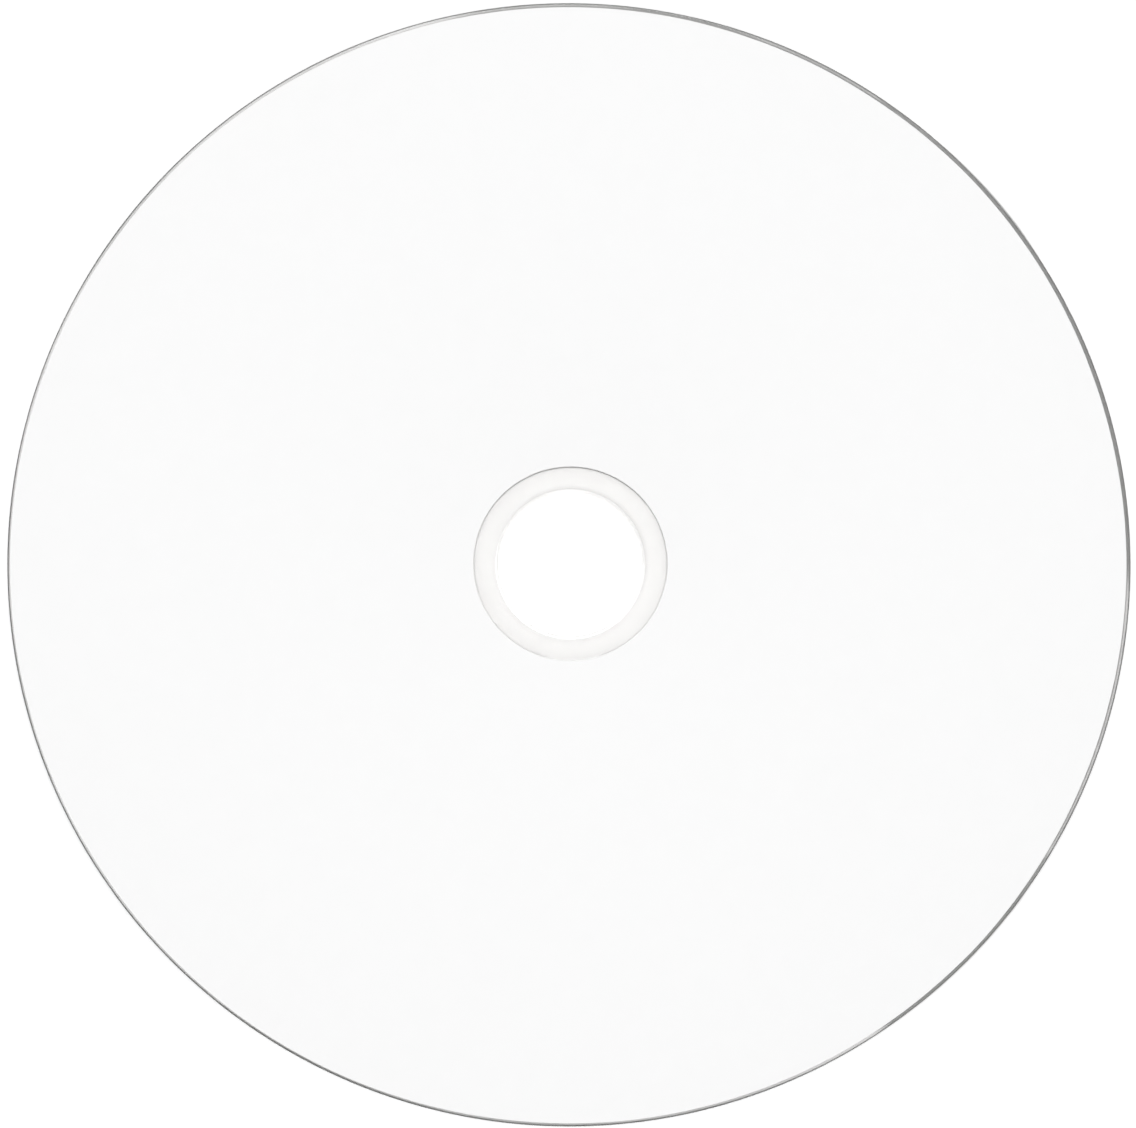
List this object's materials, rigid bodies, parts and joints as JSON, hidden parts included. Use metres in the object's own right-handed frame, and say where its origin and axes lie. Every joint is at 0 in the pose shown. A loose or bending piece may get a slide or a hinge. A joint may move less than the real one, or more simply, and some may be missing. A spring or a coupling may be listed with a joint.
{
  "type": "compact disc",
  "caption": "Blank recordable compact disc: clear moulded plate with a centre hole and stacking ring, a mirrored recording band and a white printable coat.",
  "frame": {"origin": "on the disc's axis, at the foot of the stacking ring, which is the plane that the disc lies on", "axes": "+Z along the disc's axis, from the readout side towards the white label side; X and Y are any two directions across the disc"},
  "size_m": [0.12, 0.12, 0.0015],
  "materials": {
    "clear_polycarbonate": "clear moulded polycarbonate, optically smooth",
    "dyed_mirror": "reflective metal under a pale green recording dye, seen through the clear plate",
    "white_coat": "matt white ink-receptive coat"
  },
  "bodies": {
    "root": {"polycarbonate_substrate": "clear_polycarbonate", "reflective_layer": "dyed_mirror", "print_coat": "white_coat"}
  },
  "joints": []
}
